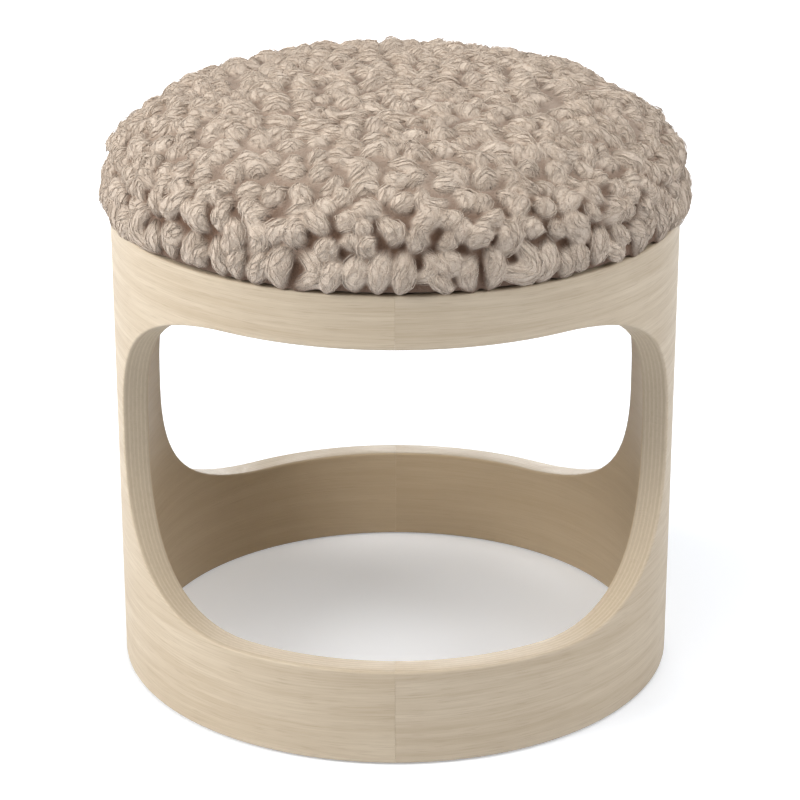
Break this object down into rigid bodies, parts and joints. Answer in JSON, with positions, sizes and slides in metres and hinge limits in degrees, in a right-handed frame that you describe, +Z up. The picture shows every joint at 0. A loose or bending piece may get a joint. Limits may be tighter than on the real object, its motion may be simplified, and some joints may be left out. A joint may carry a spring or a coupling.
{
  "type": "round ottoman",
  "caption": "Round ottoman: bent plywood drum with wide rounded windows front and back, open underneath, and a domed curly pile cushion bolted on top.",
  "frame": {"origin": "on the floor, at the centre of the underside, on the drum's axis", "axes": "+Z up along the drum's axis, -Y towards the front window, +X to the right seen from the front"},
  "size_m": [0.416, 0.416, 0.433],
  "materials": {
    "shell_wood": "pale oak veneer on plywood, clear matt lacquer",
    "dowel_wood": "plain beech",
    "deck_wood": "bare plywood",
    "block_wood": "bare birch",
    "board_wood": "bare plywood",
    "screw_metal": "yellow zinc plated",
    "bolt_metal": "bright zinc plated",
    "foam": "open-cell upholstery foam",
    "batting": "polyester wadding",
    "cover_pile": "beige curly pile",
    "dust_cloth": "black non-woven cloth",
    "glide_plastic": "moulded nylon"
  },
  "bodies": {
    "root": {"left_shell": "shell_wood", "right_shell": "shell_wood", "seam_dowel_1": "dowel_wood", "seam_dowel_2": "dowel_wood", "seam_dowel_3": "dowel_wood", "seam_dowel_4": "dowel_wood", "seam_dowel_5": "dowel_wood", "seam_dowel_6": "dowel_wood", "seam_dowel_7": "dowel_wood", "seam_dowel_8": "dowel_wood", "seat_deck": "deck_wood", "ledger_block_1": "block_wood", "ledger_block_2": "block_wood", "ledger_block_3": "block_wood", "ledger_block_4": "block_wood", "ledger_block_5": "block_wood", "ledger_block_6": "block_wood", "shell_screw_1": "screw_metal", "shell_screw_2": "screw_metal", "shell_screw_3": "screw_metal", "shell_screw_4": "screw_metal", "shell_screw_5": "screw_metal", "shell_screw_6": "screw_metal", "shell_screw_7": "screw_metal", "shell_screw_8": "screw_metal", "shell_screw_9": "screw_metal", "shell_screw_10": "screw_metal", "shell_screw_11": "screw_metal", "shell_screw_12": "screw_metal", "deck_screw_1": "screw_metal", "deck_screw_2": "screw_metal", "deck_screw_3": "screw_metal", "deck_screw_4": "screw_metal", "deck_screw_5": "screw_metal", "deck_screw_6": "screw_metal", "cushion_board": "board_wood", "foam_pad": "foam", "batting_wrap": "batting", "cushion_cover": "cover_pile", "dust_cover": "dust_cloth", "bolt_washer_1": "bolt_metal", "bolt_washer_2": "bolt_metal", "bolt_washer_3": "bolt_metal", "bolt_washer_4": "bolt_metal", "cushion_bolt_1": "bolt_metal", "cushion_bolt_2": "bolt_metal", "cushion_bolt_3": "bolt_metal", "cushion_bolt_4": "bolt_metal", "tee_nut_1": "bolt_metal", "tee_nut_2": "bolt_metal", "tee_nut_3": "bolt_metal", "tee_nut_4": "bolt_metal", "floor_glide_1": "glide_plastic", "floor_glide_2": "glide_plastic", "floor_glide_3": "glide_plastic", "floor_glide_4": "glide_plastic", "floor_glide_5": "glide_plastic", "floor_glide_6": "glide_plastic"}
  },
  "joints": []
}
